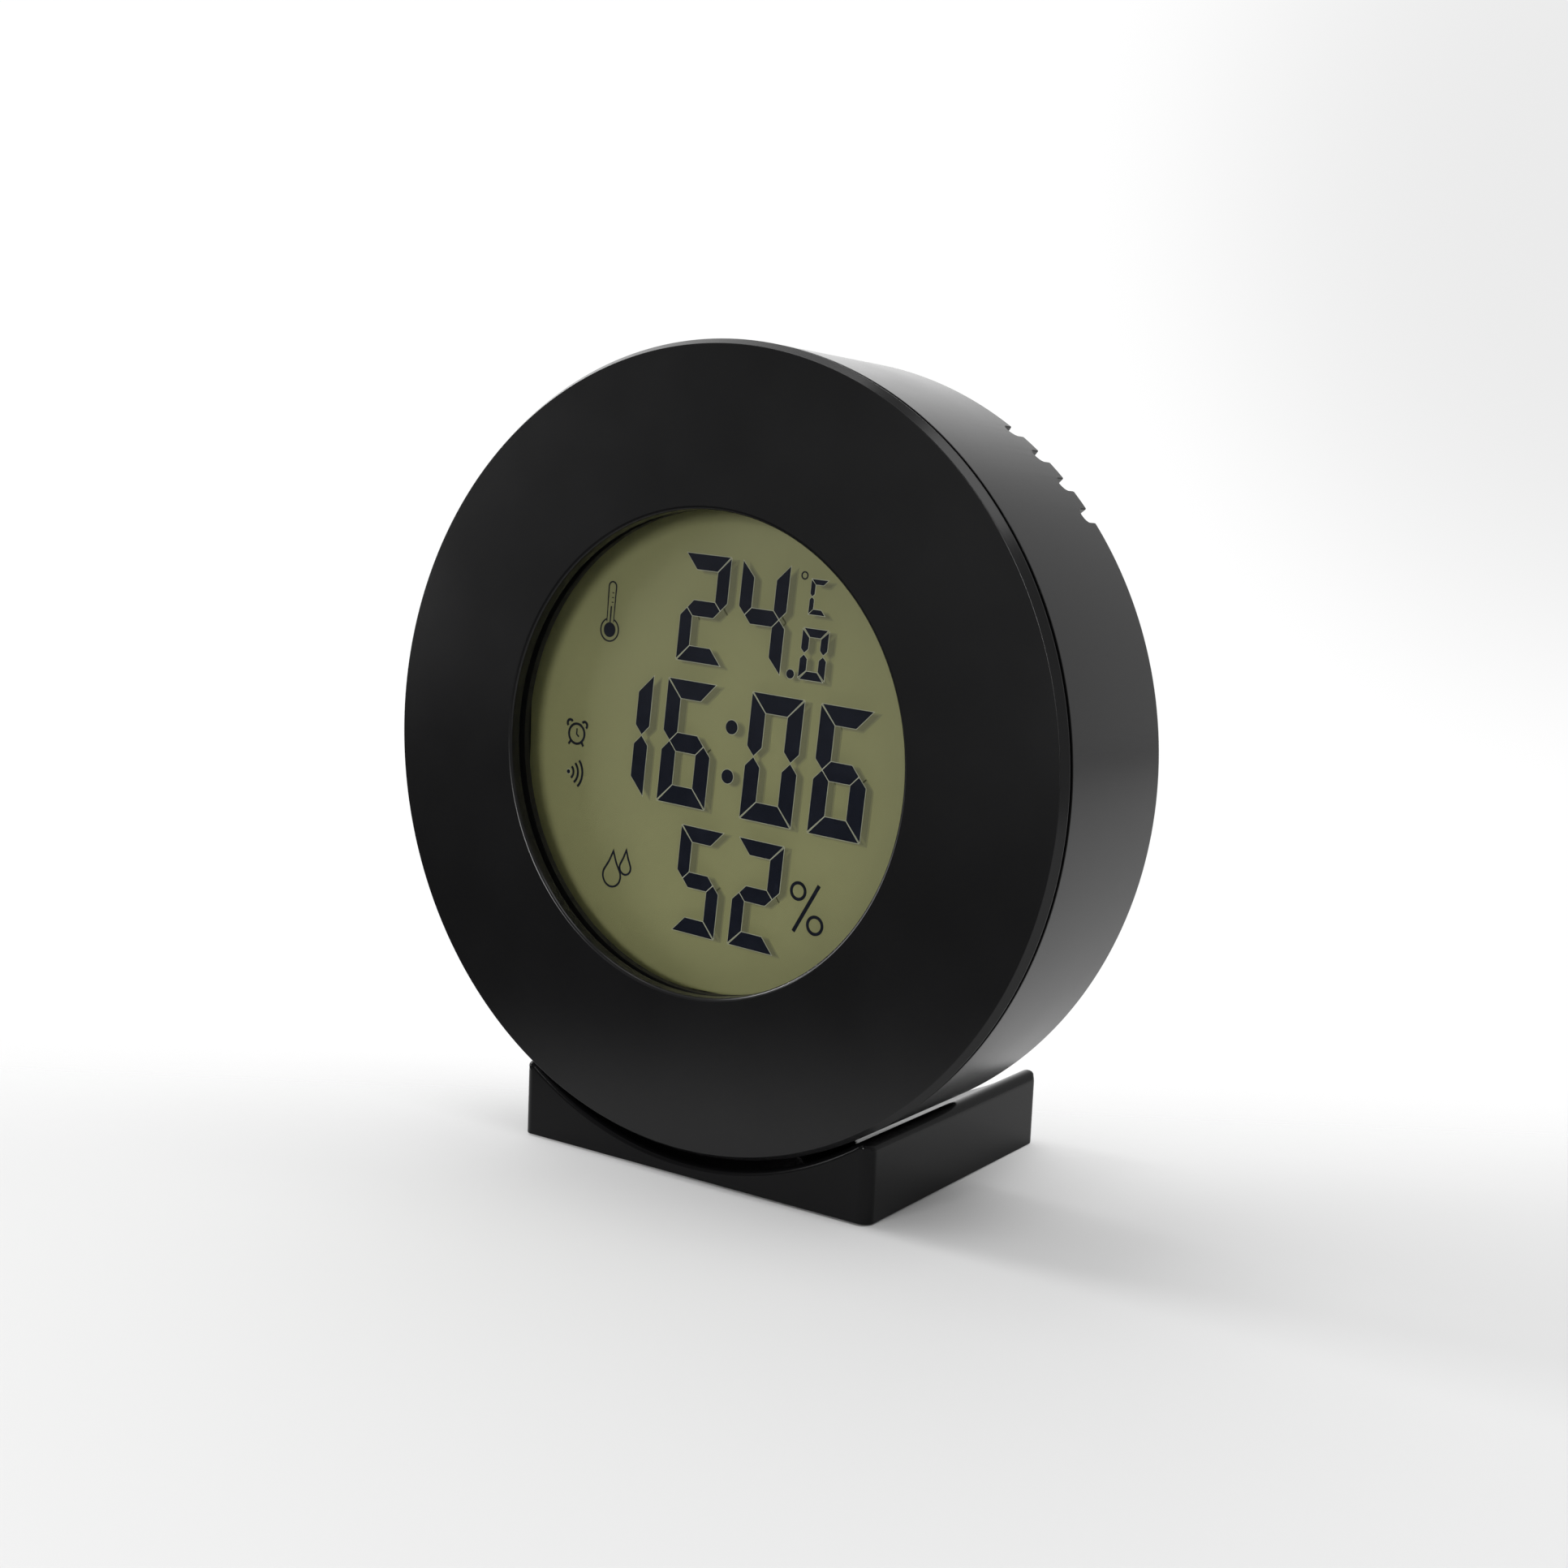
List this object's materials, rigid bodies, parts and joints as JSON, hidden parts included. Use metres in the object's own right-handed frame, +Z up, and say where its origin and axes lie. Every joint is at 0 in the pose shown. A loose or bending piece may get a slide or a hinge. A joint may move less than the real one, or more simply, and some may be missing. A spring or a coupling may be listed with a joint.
{
  "type": "thermometer hygrometer clock",
  "caption": "Round digital desk clock on a curved cradle, with a round reflective display for time, temperature and humidity, rim vents, rear push buttons, alarm slide and battery door.",
  "frame": {"origin": "on the table, under the middle of the cradle's rectangular footprint", "axes": "+X is the clock's right seen from the front, +Y runs from the face to the back, +Z is up"},
  "size_m": [0.1, 0.0448, 0.1036],
  "materials": {
    "case_black": "satin black moulded plastic",
    "cradle_black": "satin black moulded plastic",
    "lens_clear": "clear polished window",
    "display_glass": "clear display glass",
    "display_olive": "olive satin reflector film",
    "frame_black": "matte black",
    "contact_rubber": "striped conductive rubber",
    "board_green": "green solder mask",
    "chip_resin": "glossy black resin",
    "can_metal": "bright can",
    "switch_black": "matte black",
    "screw_steel": "plated steel",
    "contact_nickel": "nickel plated spring steel",
    "cell_jacket": "satin printed jacket",
    "button_black": "fine-grained",
    "sounder_brass": "plain sheet",
    "sounder_white": "silvered ceramic",
    "sensor_white": "matte",
    "ferrite_grey": "fired ferrite",
    "coil_copper": "enamelled copper wire",
    "pad_rubber": "matte non-slip foam rubber"
  },
  "bodies": {
    "clock": {"rear_shell": "case_black", "front_bezel": "case_black", "window_lens": "lens_clear", "display_frame": "frame_black", "display_front_glass": "display_glass", "display_rear_glass": "display_glass", "display_reflector": "display_olive", "contact_strips": "contact_rubber", "circuit_board": "board_green", "board_screws": "screw_steel", "clock_chip": "chip_resin", "quartz_crystal": "can_metal", "capacitor": "can_metal", "push_switches": "switch_black", "slide_switch": "can_metal", "case_screws": "screw_steel", "cell_upper": "cell_jacket", "cell_lower": "cell_jacket", "contact_bridge": "contact_nickel", "contact_pair": "contact_nickel", "sounder_disc": "sounder_brass", "sounder_ceramic": "sounder_white", "sensor_board": "board_green", "climate_sensor": "sensor_white", "antenna_rod": "ferrite_grey", "antenna_coil": "coil_copper", "cradle": "cradle_black", "base_pad": "pad_rubber", "base_screws": "screw_steel"},
    "door": {"battery_door": "case_black"},
    "alarm_slide": {"alarm_knob": "button_black", "slide_lever": "switch_black"},
    "set_key": {"button_set": "button_black", "plunger_set": "switch_black"},
    "down_key": {"button_down": "button_black", "plunger_down": "switch_black"},
    "up_key": {"button_up": "button_black", "plunger_up": "switch_black"},
    "unit_key": {"button_unit": "button_black", "plunger_unit": "switch_black"}
  },
  "joints": [
    {"name": "door_tilt", "type": "hinge", "parent": "clock", "child": "door", "pos_m": [0, 0.0024, 0.02437], "axis": [-1, 0, 0], "range_deg": [0, 75]},
    {"name": "alarm_slide_move", "type": "slide", "parent": "clock", "child": "alarm_slide", "axis": [1, 0, 0], "range_m": [0, 0.002]},
    {"name": "set_press", "type": "slide", "parent": "clock", "child": "set_key", "axis": [0, -1, 0], "range_m": [0, 0.0005], "stiffness_N_per_m": 1500},
    {"name": "down_press", "type": "slide", "parent": "clock", "child": "down_key", "axis": [0, -1, 0], "range_m": [0, 0.0005], "stiffness_N_per_m": 1500},
    {"name": "up_press", "type": "slide", "parent": "clock", "child": "up_key", "axis": [0, -1, 0], "range_m": [0, 0.0005], "stiffness_N_per_m": 1500},
    {"name": "unit_press", "type": "slide", "parent": "clock", "child": "unit_key", "axis": [0, -1, 0], "range_m": [0, 0.0005], "stiffness_N_per_m": 1500}
  ]
}
